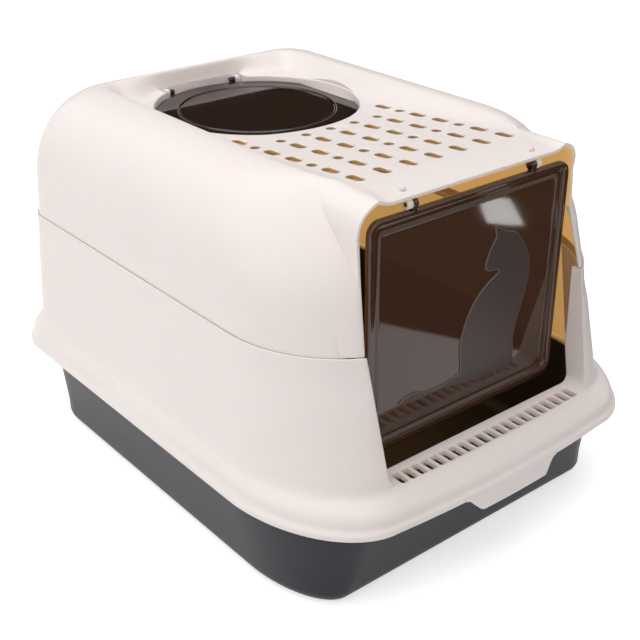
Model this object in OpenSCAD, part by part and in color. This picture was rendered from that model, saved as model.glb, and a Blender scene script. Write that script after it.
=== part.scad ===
// Covered cat litter box: open pan, lift-off lower shell with entry sill, lift-off hood
// with a vented roof, a swinging flap door in the front and a round lid in the roof.
// Millimetres, +Z up, the front looks along -Y, origin on the ground under the middle.

/* [Overall] */
// Width over the skirt rim
skirt_w = 423.2; // [390:1:460]
// Length over the skirt rim and the front tab
skirt_l = 537; // [500:1:590]
// Height of the skirt rim over the ground
rim_z = 90; // [75:1:105]
// Height of the sill over the skirt rim
skirt_h = 31; // [28:1:38]
// Height of the seam over the sill
shell_h = 112.5; // [90:0.5:140]
// Height of the roof crest over the seam
hood_h = 123.5; // [112:0.5:140]
// Wall thickness of the shell and the hood
wall = 3; // [2:0.2:3.6]

/* [Pan] */
// Wall thickness of the pan
pan_wall = 3; // [2:0.2:4]
// Draft angle of the pan walls, degrees
pan_draft = 10; // [4:0.5:12]
// Radius of the edge between pan floor and walls
pan_edge_r = 16; // [6:0.5:22]
// Height of the upright band at the pan rim
pan_band = 20; // [12:1:30]
// How far the pan's front wall stands behind the skirt rim
pan_setback = 33.7; // [30:0.1:42]

/* [Lower shell] */
// Overhang of the skirt at the sides and the back
skirt_over = 12.6; // [10:0.1:16]
// Overhang of the skirt in front of the sill
sill_over = 19.8; // [16:0.1:24]
// Draft of the shell wall from sill to seam
shell_in = 8.8; // [4:0.1:14]
// Depth of the sill from front to back
sill_d = 28; // [26:0.5:36]
// Height of the lip that laps outside the hood
lap_h = 7.5; // [5:0.5:10]
// Width of the ledge that carries the hood
ledge_w = 3.3; // [3:0.1:5]
// Width of the front tab along its lower edge
tab_w = 88; // [60:1:130]
// Drop of the front tab below the skirt rim
tab_drop = 13.6; // [8:0.2:20]
// Number of slots in the sill
slot_n = 21; // [11:1:22]
// Spacing of the sill slots
slot_pitch = 10.7; // [9:0.1:10.9]
// Width of a sill slot
slot_w = 7.2; // [4:0.2:8.2]
// Length of a sill slot
slot_l = 15; // [10:0.5:16]
// Depth of the bars between the slots
sill_t = 5; // [3:0.5:7]

/* [Opening] */
// Width between the outer edges of the visor
opening_w = 252; // [230:1:262]
// How much wider the opening is at the seam, each side
pillar_splay = 6.3; // [2:0.1:8]
// Thickness of the edge round the opening
edge_t = 2.5; // [2:0.1:3]
// Radius of the lower corners of the opening
sill_r = 9; // [4:0.5:14]
// How far the pillars lean back from sill to seam
pillar_lean = 24.2; // [16:0.2:28]
// How far the visor corner stands behind the seam
visor_lean = 13.5; // [8:0.2:18]
// Height of the visor corner over the seam
visor_z = 57; // [45:0.5:65]
// Radius of the upper corners of the visor
visor_r = 23; // [12:0.5:32]

/* [Roof] */
// Width between the two roof crests
crest_w = 240; // [226:1:262]
// Distance of the rear crest in front of the back wall
crest_back = 39.5; // [32:0.5:44]
// Lean of the hood's front corners, run over rise
front_slope = 0.27; // [0.15:0.005:0.32]
// How far the front corners round back under the roof
front_round = 20.5; // [14:0.5:30]
// Height of the rounded shoulder under the crest
shoulder_h = 87; // [60:1:95]
// Depth of the dished roof under the crest
dish = 16; // [10:0.5:20]
// Width of the slope from side crest to dish
dish_slope = 26; // [18:0.5:32]
// Rise of the roof towards the front
roof_rise = 12.5; // [6:0.5:14]
// Distance of the first vents behind the roof lip
vent_y = 51.9; // [44:0.1:56]
// Number of vent columns
vent_cols = 7; // [3:2:7]
// Spacing of the vent columns
vent_px = 28.8; // [22:0.2:29]
// Spacing between neighbouring long vents
vent_py = 30.3; // [26:0.1:32]
// Spacing between a long and a short vent
vent_ps = 24.2; // [20:0.1:26]
// Length of a long vent
vent_l = 17; // [12:0.5:20]
// Width of every vent and length of a short one
vent_w = 8; // [5:0.2:10]

/* [Top lid] */
// Radius of the round well in the roof
well_r = 101; // [84:0.2:102]
// Depth of the well under the dished roof
well_d = 11; // [8:0.5:14]
// Width of the ledge that carries the lid
well_ledge = 11; // [7:0.5:16]
// Clearance of the lid inside the well
lid_gap = 1.4; // [0.8:0.1:2]
// How far the lid's top lies under the roof
lid_sink = 5; // [2:0.2:6]
// Thickness of the lid
lid_t = 2.5; // [1.8:0.1:3.2]
// Width of the crescent left free at each side for the fingers
lid_flat = 10.5; // [6:0.5:14]
// Radius of the raised ring on the lid
lid_ring_r = 77.5; // [50:0.5:82]

/* [Flap door] */
// Gap between the door and the edge round the opening, each side
door_side = 7.2; // [5:0.1:10]
// Height of the door's lower edge over the sill
door_foot = 3; // [2:0.5:10]
// Thickness of the door panel
door_t = 2.6; // [2:0.1:3.4]
// Depth of the raised border of the door
border_d = 5.6; // [4:0.1:7]
// Width of the raised border of the door
border_w = 6.5; // [4:0.1:9]
// Width of the border along the lower edge
border_foot = 12; // [7:0.5:18]
// Corner radius of the door
door_r = 12; // [6:0.5:18]

/* [Hinges] */
// Distance of each door hinge from the middle
door_hinge_x = 74.5; // [50:0.5:86]
// Radius of the door's hinge pins
door_pin_r = 2; // [1.6:0.1:2.4]
// Distance of each lid hinge from the middle
lid_hinge_x = 44; // [34:0.5:46]
// Radius of the lid's hinge pins
lid_pin_r = 1.6; // [1.3:0.1:1.8]
// Width of a hinge clip
clip_w = 5.2; // [4:0.1:6]
// Radial clearance of a pin in its clip
pin_gap = 0.05; // [0.02:0.01:0.1]
// Gap between a hinge lug and its clip
side_gap = 0.4; // [0.3:0.1:0.8]

/* [Hidden] */

// Colours of the plastics
cream = "#f1e9e1";
charcoal = "#4b4a50";
smoke = "#4a3024";

// Heights that everything is stacked from
sill_z = rim_z + skirt_h;
seam_z = sill_z + shell_h;
crest_z = seam_z + hood_h;
ledge_z = rim_z + skirt_h * 0.52;
hood_foot = seam_z - lap_h;
knee_z = crest_z - shoulder_h;

// Front and back of the skirt
half_w = skirt_w / 2;
back_y = skirt_l / 2;
tab_out = 3.5;
rim_y = tab_out - skirt_l / 2;
tiny = 0.01;
big = 400;
lap_step = 0.3;
lap_t = 1.4;

// Steps round a quarter corner and along the bowed front
corner_n = 9;
front_n = 8;

// One closed outline, counter-clockwise from above, as
// [half width, front, back, front corner along x, along y, its power, back radius, bow]
function mix(a, b, t) = a + (b - a) * t;
function mixed(a, b, t) = [for (i = [0:len(a) - 1]) mix(a[i], b[i], t)];
function grown(o, d) =
    [o[0] + d, o[1] - d, o[2] + d, o[3] + d, o[4] + d, o[5], o[6] + d, o[7]];
function corner(o, a) = let (p = 2 / o[5])
    [o[0] - o[3] + o[3] * pow(sin(a), p), o[1] + o[7] + o[4] - o[4] * pow(cos(a), p)];
function outline(o) = let (flat = o[0] - o[3], r = o[6], step = 90 / corner_n) concat(
    [for (i = [-front_n:front_n]) let (t = i / front_n) [flat * t, o[1] + o[7] * t * t]],
    [for (i = [1:corner_n]) corner(o, i * step)],
    [for (i = [0:corner_n]) let (a = i * step)
        [o[0] - r + r * cos(a), o[2] - r + r * sin(a)]],
    [for (i = [0:corner_n]) let (a = i * step)
        [r - o[0] - r * sin(a), o[2] - r + r * cos(a)]],
    [for (i = [corner_n:-1:1]) let (c = corner(o, i * step)) [-c[0], c[1]]]);
function ring(z, o) = [for (p = outline(o)) [p[0], p[1], z]];

// Solid between stacked rings of equal length; a loop joins the last ring to the first
module skin(rings, loop = false) {
    n = len(rings[0]);
    k = len(rings);
    sides = [for (j = [0:k - (loop ? 1 : 2)], i = [0:n - 1], s = [0, 1])
        let (a = j * n + i, b = j * n + (i + 1) % n)
        let (c = ((j + 1) % k) * n + i, d = ((j + 1) % k) * n + (i + 1) % n)
        s == 0 ? [a, c, d] : [a, d, b]];
    caps = loop ? [] : [[for (i = [0:n - 1]) i], [for (i = [n - 1:-1:0]) (k - 1) * n + i]];
    polyhedron([for (r = rings) each r], concat(sides, caps));
}

// Plan outlines of the shell at the rim, at the sill and at the seam
rim_o = [half_w, rim_y, back_y, 80, 122, 1.9, 56, 6.5];
sill_o = [half_w - skirt_over, rim_y + sill_over, back_y - skirt_over, 80, 112, 1.9, 51, 6];
seam_o = [half_w - skirt_over - shell_in, rim_y + sill_over + 14.5,
    back_y - skirt_over - shell_in * 0.85, 118, 118, 2, 38, 0];
function skirt_o(side, front) = let (a = mixed(rim_o, sill_o, side), b = mixed(rim_o, sill_o, front))
    [a[0], b[1], a[2], a[3], b[4], a[5], a[6], b[7]];
function wall_o(z) = mixed(sill_o, seam_o, (z - sill_z) / shell_h);

// The opening: half width over its edge, and the front line of pillars and visor
visor_half = opening_w / 2;
kink_z = seam_z + visor_z;
foot_y = sill_o[1] + sill_o[7] + 0.7;
shell_seam_y = foot_y + pillar_lean;
hood_seam_y = shell_seam_y + 2.2;
return_d = 11;
kink_y = hood_seam_y + visor_lean;
brow_z = kink_z + 0.54 * (crest_z - kink_z);
brow_y = kink_y + 2.6;
lip_y = kink_y - 1.4;
function opening_half(z) = z < seam_z
    ? visor_half + pillar_splay * (z - sill_z) / shell_h
    : visor_half + pillar_splay * max(0, kink_z - z) / visor_z;

// Litter pan: one drafted tub with a turned-out rim under the skirt
pan_inside = 3.4;
pan_top = [half_w - skirt_over * 0.5 - wall + 1.1, rim_y + pan_setback, back_y - pan_setback + 5,
    75, 104, 2, 78, 0];
pan_foot_z = ledge_z - pan_band;
pan_lean = pan_foot_z * tan(pan_draft);
pan_low = let (g = grown(pan_top, -pan_lean)) [g[0], g[1], g[2], 40, 84, 1.9, 40, 0];
pan_tan = pan_edge_r * tan(45 - pan_draft / 2);
function pan_at(z) = mixed(pan_low, pan_top, min(1, z / pan_foot_z));

module litter_tray() {
    arc = [for (a = [0:20:80]) a * (90 - pan_draft) / 80];
    edge = [for (a = arc) [pan_edge_r * (1 - cos(a)), pan_edge_r * sin(a) - pan_tan]];
    bead = 0.3;
    in_r = pan_edge_r - pan_wall;
    in_tan = in_r * tan(45 - pan_draft / 2);
    inner = [for (a = arc) [in_r * (1 - cos(a)) + pan_wall, in_r * sin(a) - in_tan - pan_wall]];
    outside = concat(
        [for (e = edge) ring(e[0], grown(pan_low, e[1]))],
        [ring(pan_foot_z, pan_top), ring(ledge_z - 5, pan_top),
            ring(ledge_z - 4, grown(pan_top, bead)), ring(ledge_z - 1.5, grown(pan_top, bead)),
            ring(ledge_z, grown(pan_top, -0.6))]);
    inside = concat(
        [for (e = inner) ring(e[0], grown(pan_low, e[1]))],
        [ring(pan_foot_z, grown(pan_top, -pan_wall)), ring(ledge_z + 1, grown(pan_top, -pan_wall))]);
    color(charcoal)
    difference() {
        for (i = [0:len(outside) - 2]) hull() skin([outside[i], outside[i + 1]]);
        skin(inside);
    }
}

// Inner face of the opening at one height, for the shell and the hood
module opening_shape(inset, top) {
    w0 = opening_half(sill_z) - inset;
    w1 = opening_half(seam_z) - inset;
    low = sill_z - (edge_t - inset);
    r = max(sill_r - inset + edge_t, 1);
    polygon(concat(
        [for (a = [180:15:270]) [-w0 + r + r * cos(a), low + r + r * sin(a)]],
        [for (a = [270:15:360]) [w0 - r + r * cos(a), low + r + r * sin(a)]],
        [[w1, seam_z], [w1, top], [-w1, top], [-w1, seam_z]]));
}

// A prism along X from a side profile of [y, z] points
module across(w, points) {
    rotate([90, 0, 90]) translate([0, 0, -w / 2]) linear_extrude(w) polygon(points);
}

// A prism along Y from a front profile
module along(y0, y1) {
    translate([0, y1, 0]) rotate([90, 0, 0]) linear_extrude(y1 - y0) children();
}

// A slot along Y with rounded corners
module slot(w, l, h, r) {
    hull() for (i = [-1, 1], j = [-1, 1])
        translate([i * (w / 2 - r), j * (l / 2 - r), 0]) cylinder(r = r, h = h, $fn = 16);
}

// Sill: its back edge, and the slots that follow the bow of its front edge
sill_back = sill_o[1] + sill_d;
slot_bow = 0.00018;
function slot_y(x) = sill_o[1] + 2.9 + slot_l / 2 + slot_bow * x * x;

module lower_shell() {
    // Skirt from rim to sill as [height share, side share, front share]
    skirt = [[0, 0, 0], [0.09, 0.015, 0.01], [0.2, 0.09, 0.06], [0.29, 0.16, 0.13],
        [0.4, 0.3, 0.17], [0.5, 0.38, 0.25], [0.64, 0.47, 0.42], [0.78, 0.62, 0.63],
        [0.9, 0.82, 0.86], [1, 0.94, 1]];
    outer = concat(
        [for (s = skirt) ring(rim_z + s[0] * skirt_h, skirt_o(s[1], s[2]))],
        [ring(sill_z + 5, grown(wall_o(sill_z + 5), -0.2)), ring(seam_z - 40, wall_o(seam_z - 40)),
            ring(seam_z - 1, wall_o(seam_z)), ring(seam_z, grown(wall_o(seam_z), -0.5))]);
    thin = grown(seam_o, -lap_t);
    under = skirt[7];
    ledge_edge = [pan_top[0] - pan_inside, pan_top[1] - 3, pan_top[2] - 5, 71, 100, 2, 60, 0];
    inner = concat(
        [ring(seam_z, thin), ring(hood_foot, thin),
            ring(hood_foot, grown(thin, -ledge_w)), ring(hood_foot - 3, grown(thin, -ledge_w)),
            ring(hood_foot - 7, grown(wall_o(hood_foot - 7), -wall)),
            ring(sill_z + 5, grown(wall_o(sill_z + 5), -wall))],
        [ring(rim_z + under[0] * skirt_h - 0.6, grown(skirt_o(under[1], under[2]), -wall)),
            ring(ledge_z + wall, grown(skirt_o(0.45, 0.4), -wall)), ring(ledge_z + wall, ledge_edge),
            ring(ledge_z, ledge_edge), ring(ledge_z, grown(skirt_o(0.38, 0.27), -wall)),
            ring(rim_z, grown(rim_o, -wall))]);
    bars_w = (slot_n - 1) * slot_pitch + slot_w + 6;
    frame_back = [[-big, sill_z - 20], [sill_back, sill_z - 20], [sill_back, sill_z],
        [sill_back + 8, sill_z + 33], [shell_seam_y + return_d, seam_z - 1], [-big, seam_z - 1]];
    color(cream)
    difference() {
        union() {
            skin(concat(outer, inner), loop = true);
            // Sill and the return edges of the two pillars
            intersection() {
                along(-big, sill_back + 20) opening_shape(0, seam_z + 1);
                across(2 * half_w, frame_back);
                skin(outer);
            }
            // Deep bars between the slots
            translate([-bars_w / 2, slot_y(0) - slot_l / 2 - 1, sill_z - sill_t])
                cube([bars_w, slot_l + 5, sill_t - 1]);
            // Lip that hangs down behind the sill into the pan
            translate([-opening_half(sill_z) + 12, sill_back - edge_t - 0.6, ledge_z + 1])
                cube([2 * opening_half(sill_z) - 24, edge_t, sill_z - ledge_z - 2]);
            front_tab();
        }
        along(-big, -100) opening_shape(edge_t, seam_z + 10);
        // Everything in front of the leaning pillars
        across(2 * visor_half + 2 * pillar_splay + 24, [[-big, sill_z], [foot_y, sill_z],
            [shell_seam_y, seam_z], [shell_seam_y, seam_z + 9], [-big, seam_z + 9]]);
        for (i = [0:slot_n - 1]) let (x = (i - (slot_n - 1) / 2) * slot_pitch)
            translate([x, slot_y(x), sill_z - sill_t - 4]) slot(slot_w, slot_l, sill_t + 15, 2);
    }
}

// Flat pull tab that hangs from the middle of the front skirt
module front_tab() {
    r = 9;
    top_z = rim_z + 0.34 * skirt_h;
    rise = tab_drop;
    low = rim_z - tab_drop;
    slope = 0.2;
    multmatrix([[1, 0, 0, 0], [0, 1, slope, -slope * low - skirt_l / 2], [0, 0, 1, 0]])
        along(0, wall) hull() {
            for (s = [-1, 1]) translate([s * (tab_w / 2 + 2 - r), low + r]) circle(r, $fn = 32);
            for (s = [-1, 1]) translate([s * (tab_w / 2 + 2 - r + rise), low + r + rise]) circle(r, $fn = 32);
            translate([-tab_w / 2 - rise, rim_z + 2]) square([tab_w + 2 * rise, top_z - rim_z - 2]);
        }
}

// Plan outlines of the hood at its foot and at the knee of the shoulder
hood_o = grown(seam_o, -lap_t - lap_step);
knee_o = [hood_o[0] - 1.3, hood_o[1], hood_o[2] - 1.2, 116, 116, 2, 38, 0];
crest_o = [crest_w / 2, hood_o[1], knee_o[2] - crest_back, 100, 100, 2, 24, 0];
function front_in(z) = front_slope * (z - seam_z)
    + front_round * pow(sin(90 * max(0, z - knee_z) / shoulder_h), 2);
function leaned(o, z) = [o[0], o[1] + front_in(z), o[2], o[3], o[4], o[5], o[6], o[7]];
function body_rings(t) = let (turn = [0:10:90]) concat(
    [ring(hood_foot - (t > 0 ? 1 : 0), grown(hood_o, -t)), ring(seam_z, grown(hood_o, -t))],
    [for (a = turn) let (u = 1 - cos(a), z = knee_z + (shoulder_h - t) * sin(a))
        ring(z, grown(leaned(mixed(knee_o, crest_o, u), z + t * sin(a)), -t * (1 - u)))]);

// Height of the roof: a level dish round the lid, a ramp to the front, crests at the rim
ramp_y = 12;
rear_slope = 6.5;
top_y = kink_y + 36;
function ease(t) = let (c = min(1, max(0, t))) c * c * (3 - 2 * c);
function floor_z(y) = crest_z - dish
    + (y > ramp_y ? 0 : y > top_y ? roof_rise * (ramp_y - y) / (ramp_y - top_y)
        : roof_rise - 4 * pow((top_y - y) / (top_y - lip_y), 2));
function slope_w(y) = dish_slope + 0.1 * max(0, min(ramp_y, ramp_y - y));
function roof_z(x, y) = crest_z - (crest_z - floor_z(y))
    * ease((crest_o[0] - abs(x)) / slope_w(y)) * ease((crest_o[2] - y) / rear_slope);

// Everything over the dished roof, lowered by t
module over_roof(t) {
    shares = [for (s = [-1, 1], i = s < 0 ? [0:8] : [8:-1:0]) [s, i / 8]];
    back = [for (i = [0:6]) crest_o[2] - rear_slope * i / 6];
    front = [for (i = [0:9]) mix(top_y, lip_y - 12, i / 9)];
    ys = concat(back, [ramp_y + 60, ramp_y, (ramp_y + top_y) / 2], front, [-big]);
    nx = len(shares);
    ny = len(ys);
    at = [for (y = ys, c = shares) [c[0] * (crest_o[0] - slope_w(y) * c[1]), y]];
    low = [for (p = at) [p[0], p[1], roof_z(p[0], p[1]) - t]];
    high = [for (p = at) [p[0], p[1], crest_z + 40]];
    n = nx * ny;
    border = concat([for (i = [0:nx - 1]) i], [for (j = [1:ny - 1]) j * nx + nx - 1],
        [for (i = [nx - 2:-1:0]) (ny - 1) * nx + i], [for (j = [ny - 2:-1:1]) j * nx]);
    m = len(border);
    polyhedron(concat(low, high), concat(
        [for (j = [0:ny - 2], i = [0:nx - 2], s = [0, 1]) let (a = j * nx + i)
            s == 0 ? [a, a + nx + 1, a + 1] : [a, a + nx, a + nx + 1]],
        [for (j = [0:ny - 2], i = [0:nx - 2], s = [0, 1]) let (a = n + j * nx + i)
            s == 0 ? [a, a + 1, a + nx + 1] : [a, a + nx + 1, a + nx]],
        [for (i = [0:m - 1], s = [0, 1]) let (a = border[i], b = border[(i + 1) % m])
            s == 0 ? [a, b + n, a + n] : [a, b, b + n]]));
}

module visor(t) {
    r = visor_r - t;
    w = visor_half - t;
    top = crest_z - 3 - t;
    along(lip_y - 60, top_y + 22) polygon(concat([[-w, seam_z + 2], [w, seam_z + 2]],
        [for (a = [0:15:90]) [w - r + r * cos(a), top - r + r * sin(a)]],
        [for (a = [90:15:180]) [-w + r + r * cos(a), top - r + r * sin(a)]]));
}

// Where the lid sits: middle of the well, floor of the well and roof round it
lid_y = crest_o[2] - 6.5 - well_r;
roof_low = crest_z - dish;
well_z = roof_low - well_d;
lid_top = roof_low - lid_sink;
lid_r = well_r - lid_gap;
lid_axis_y = lid_y + lid_r - 2.2;
lid_axis_z = lid_top + 1.5;

// Well of the lid with the recess for its hinges, wider by t
module well(t, z) {
    translate([0, lid_y, z]) cylinder(r = well_r + t, h = 60, $fn = 72);
    translate([-lid_hinge_x - 6 - t, lid_y, z]) cube([2 * (lid_hinge_x + 6 + t), lid_axis_y + 4.5 + t - lid_y, 60]);
}

// Axis of the door, close under the lip of the roof
lug_r = door_pin_r + 2.2;
door_axis_y = lip_y + border_d - 1.8;
door_axis_z = floor_z(lip_y) - wall - lug_r - 0.3;
post_y = door_axis_y + 7.6;
post_d = 5;

module vents() {
    steps = [0, vent_py, vent_ps, vent_ps, vent_py, vent_ps, vent_ps];
    at = [for (i = 0, s = 0; i < len(steps); i = i + 1, s = s + (i < len(steps) ? steps[i] : 0)) s];
    half = (vent_cols - 1) / 2;
    for (row = [0:len(at) - 1], col = [-half:half]) {
        x = col * vent_px;
        y = lip_y + vent_y + at[row];
        l = row == 2 || row == 5 ? vent_w + 0.6 : vent_l;
        // No vent runs into the well of the lid
        if (y + l / 2 + 4 < lid_y - sqrt(max(0, well_r * well_r - x * x)))
            translate([x, y, crest_z - 40]) slot(vent_w, l, 60, vent_w / 2 - 0.2);
    }
}

module upper_hood() {
    lap_y = shell_seam_y + return_d + 0.4;
    nose = [[-big, 0], [lap_y, 0], [lap_y, seam_z + 0.2], [hood_seam_y, seam_z + 0.2], [kink_y, kink_z],
        [brow_y, brow_z], [lip_y, crest_z - 7], [lip_y, crest_z + 50], [-big, crest_z + 50]];
    color(cream)
    difference() {
        union() {
            skin(body_rings(0));
            visor(0);
        }
        over_roof(0);
        difference() {
            union() {
                skin(body_rings(wall));
                visor(edge_t);
            }
            over_roof(wall);
            well(wall, well_z - wall);
        }
        well(0, well_z);
        translate([0, lid_y, well_z - 2 * wall]) cylinder(r = well_r - well_ledge, h = 60, $fn = 72);
        across(2 * half_w, nose);
        along(-big, kink_y + 14) opening_shape_hood();
        for (s = [-1, 1]) translate([s * door_hinge_x - clip_w / 2, post_y - post_d / 2 - 0.2, door_axis_z])
            cube([clip_w, post_d + 0.4, 60]);
        vents();
    }
}

module opening_shape_hood() {
    w0 = opening_half(seam_z) - edge_t;
    w1 = visor_half - edge_t;
    polygon([[-w0, hood_foot - 9], [w0, hood_foot - 9], [w0, seam_z], [w1, kink_z],
        [-w1, kink_z], [-w0, seam_z]]);
}

// Door: smoked panel with a raised border, an inner frame and a sitting cat in relief
door_half = visor_half - edge_t - door_side;
door_low = sill_z + door_foot;
door_high = door_axis_z - 5;
door_face = door_axis_y + 1.8;

module rounded(w, z0, z1, r) {
    polygon([for (c = [[1, -1, 270], [1, 1, 0], [-1, 1, 90], [-1, -1, 180]], a = [0:10:90])
        [c[0] * (w - r) + r * cos(c[2] + a), (c[1] < 0 ? z0 + r : z1 - r) + r * sin(c[2] + a)]]);
}

// Frame w wide at the top and the sides; below it reaches from low to foot
module door_frame(inset, w, low, foot, depth) {
    along(door_face - depth, door_face) difference() {
        rounded(door_half - inset, door_low + low, door_high - inset, max(door_r - inset, 2));
        rounded(door_half - inset - w, door_low + foot, door_high - inset - w,
            max(door_r - inset - w, 1.5));
    }
}

// Closed curve through a few points
function turned(p, q, r, s, t) = 0.5 * (2 * q + (r - p) * t + (2 * p - 5 * q + 4 * r - s) * t * t
    + (3 * q - p - 3 * r + s) * t * t * t);
function smooth(pts, k) = let (n = len(pts)) [for (i = [0:n - 1], j = [0:k - 1])
    turned(pts[(i + n - 1) % n], pts[i], pts[(i + 1) % n], pts[(i + 2) % n], j / k)];
cat = [[-77, 11], [-54, 7.5], [-19, 7], [12, 1.5], [60, 0], [64, 12], [62.5, 32], [72, 66],
    [76.6, 90], [73, 109], [58, 131], [43, 137.5], [28, 145], [29.5, 135], [22.5, 123.5],
    [18.8, 112], [22, 105.5], [36.5, 102], [24.5, 94.5], [13, 86], [3.4, 74], [-4, 57],
    [-7, 40], [-4.5, 19], [-10, 13.5], [-40, 11], [-56, 15.5], [-68, 15.5]];
cat_foot = 27.7;

module flap_door() {
    lug_x = door_hinge_x - clip_w / 2 - side_gap;
    lug_w = 5.5;
    color(smoke, 0.85)
    union() {
        along(door_face - door_t, door_face) rounded(door_half, door_low, door_high, door_r);
        door_frame(0, border_w, 0, border_foot, border_d);
        door_frame(border_w + 5, 3.2, 1, border_foot - 1, door_t + 1.4);
        translate([0, 0, door_low + cat_foot])
            along(door_face - door_t - 1.1, door_face - 1) polygon(smooth(cat, 3));
        for (s = [-1, 1]) {
            // Lug over the border, with its pin pointing outwards
            translate([s * (lug_x - lug_w / 2), door_axis_y, door_axis_z]) rotate([0, 90, 0])
                cylinder(r = lug_r, h = lug_w, center = true, $fn = 48);
            translate([s * (lug_x - lug_w / 2) - lug_w / 2, door_face - border_d, door_high - 4])
                cube([lug_w, border_d, door_axis_z - door_high + 4]);
            translate([s * (lug_x + (clip_w + side_gap) / 2 - 0.5), door_axis_y, door_axis_z])
                rotate([0, 90, 0])
                cylinder(r = door_pin_r, h = clip_w + side_gap + 1, center = true, $fn = 48);
        }
    }
}

// Clip with a bored ear under the lip and a round head over a slot of the roof
module door_clip(s) {
    under_z = roof_z(door_hinge_x, post_y - post_d / 2) - wall;
    head_z = roof_z(door_hinge_x, post_y);
    color(cream)
    translate([s * door_hinge_x, 0, 0]) difference() {
        union() {
            translate([0, door_axis_y, door_axis_z]) rotate([0, 90, 0])
                cylinder(r = lug_r, h = clip_w, center = true, $fn = 48);
            translate([-clip_w / 2, door_axis_y, door_axis_z])
                cube([clip_w, post_y + post_d / 2 - door_axis_y, under_z - 1.5 - door_axis_z]);
            translate([-clip_w / 2, post_y - post_d / 2, door_axis_z])
                cube([clip_w, post_d, head_z - door_axis_z]);
            translate([0, post_y, head_z]) rotate([0, 90, 0])
                cylinder(r = post_d / 2, h = clip_w, center = true, $fn = 48);
        }
        translate([0, door_axis_y, door_axis_z]) rotate([0, 90, 0])
            cylinder(r = door_pin_r + pin_gap, h = clip_w + 2, center = true, $fn = 48);
    }
}

// Lid: shallow cap with a raised ring, flat at both sides, hinged at the back
module lid_blank(r, inset, z0, h) {
    intersection() {
        translate([0, lid_y, z0]) cylinder(r = r - inset, h = h, $fn = 96);
        translate([-(lid_r - lid_flat) + inset, lid_y - well_r, z0 - 1])
            cube([2 * (lid_r - lid_flat - inset), 2 * well_r, h + 2]);
    }
}

module top_lid() {
    hem = 2.4;
    lug_r = lid_pin_r + 1.4;
    lug_w = 6;
    lug_x = lid_hinge_x - clip_w / 2 - side_gap;
    color(smoke, 0.85)
    union() {
        lid_blank(lid_r, 0, lid_top - lid_t, lid_t);
        difference() {
            lid_blank(lid_r, 0, well_z, lid_top - lid_t - well_z + tiny);
            lid_blank(lid_r, hem, well_z - 1, lid_top - well_z + 2);
            translate([-well_r, lid_axis_y - 12, well_z - 1]) cube([2 * well_r, 40, lid_top - lid_t - well_z + 1]);
        }
        translate([0, lid_y, lid_top - tiny]) rotate_extrude($fn = 96)
            translate([lid_ring_r - 1.6, 0]) polygon([[0, 0], [3.2, 0], [2.4, 1.2], [0.8, 1.2]]);
        for (s = [-1, 1]) {
            translate([s * (lug_x - lug_w / 2), lid_axis_y, lid_axis_z]) rotate([0, 90, 0])
                cylinder(r = lug_r, h = lug_w, center = true, $fn = 48);
            translate([s * (lug_x - lug_w / 2) - lug_w / 2, lid_axis_y - 14, lid_top - lid_t - 0.4])
                cube([lug_w, 14, lid_t]);
            translate([s * (lug_x + (clip_w + side_gap) / 2 - 0.5), lid_axis_y, lid_axis_z])
                rotate([0, 90, 0])
                cylinder(r = lid_pin_r, h = clip_w + side_gap + 1, center = true, $fn = 48);
        }
    }
}

// Bearing block of the lid on the ledge of the well
module lid_clip(s) {
    block_r = lid_pin_r + 2;
    color(cream)
    translate([s * lid_hinge_x, lid_axis_y, 0]) difference() {
        union() {
            translate([0, 0, lid_axis_z]) rotate([0, 90, 0])
                cylinder(r = block_r, h = clip_w, center = true, $fn = 48);
            translate([-clip_w / 2, -block_r, well_z]) cube([clip_w, 2 * block_r, lid_axis_z - well_z]);
        }
        translate([0, 0, lid_axis_z]) rotate([0, 90, 0])
            cylinder(r = lid_pin_r + pin_gap, h = clip_w + 2, center = true, $fn = 48);
    }
}

module door_clip_left() { door_clip(-1); }
module door_clip_right() { door_clip(1); }
module lid_clip_left() { lid_clip(-1); }
module lid_clip_right() { lid_clip(1); }

litter_tray();
lower_shell();
upper_hood();
flap_door();
top_lid();
door_clip_left();
door_clip_right();
lid_clip_left();
lid_clip_right();
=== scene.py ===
# %% [markdown]
# # A covered cat litter box
# A charcoal pan stands on the floor. A cream lower shell with a wide skirt sits on it, a cream hood
# sits in the shell, and a smoked flap door and a smoked round lid hang in the hood.
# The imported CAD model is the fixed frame: every piece made here lies where its CAD node lies, so all
# lengths are typed in millimetres from the same ground point and turned into metres at one place.

# %% Load the frame
import math

import bmesh
import bpy
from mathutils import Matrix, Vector
from mathutils.bvhtree import BVHTree


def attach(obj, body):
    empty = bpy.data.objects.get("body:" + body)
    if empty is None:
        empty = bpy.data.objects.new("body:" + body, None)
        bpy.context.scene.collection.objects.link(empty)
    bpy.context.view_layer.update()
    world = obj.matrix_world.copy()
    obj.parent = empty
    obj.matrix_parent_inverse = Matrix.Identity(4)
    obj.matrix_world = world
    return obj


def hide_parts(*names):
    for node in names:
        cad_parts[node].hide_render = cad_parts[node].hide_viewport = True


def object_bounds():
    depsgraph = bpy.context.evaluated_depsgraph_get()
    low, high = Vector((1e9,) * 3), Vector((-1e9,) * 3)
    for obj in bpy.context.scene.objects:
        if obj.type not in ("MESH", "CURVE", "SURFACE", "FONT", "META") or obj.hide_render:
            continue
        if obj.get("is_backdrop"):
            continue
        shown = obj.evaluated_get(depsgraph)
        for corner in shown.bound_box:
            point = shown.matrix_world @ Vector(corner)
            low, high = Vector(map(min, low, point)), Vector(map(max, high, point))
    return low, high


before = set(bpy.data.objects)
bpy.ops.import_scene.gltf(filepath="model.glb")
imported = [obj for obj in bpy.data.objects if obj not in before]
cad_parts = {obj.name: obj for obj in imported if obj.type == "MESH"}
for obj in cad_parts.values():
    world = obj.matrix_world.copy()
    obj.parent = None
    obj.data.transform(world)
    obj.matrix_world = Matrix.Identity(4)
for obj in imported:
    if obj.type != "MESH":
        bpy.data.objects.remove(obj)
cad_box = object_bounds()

MM = 0.001
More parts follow.
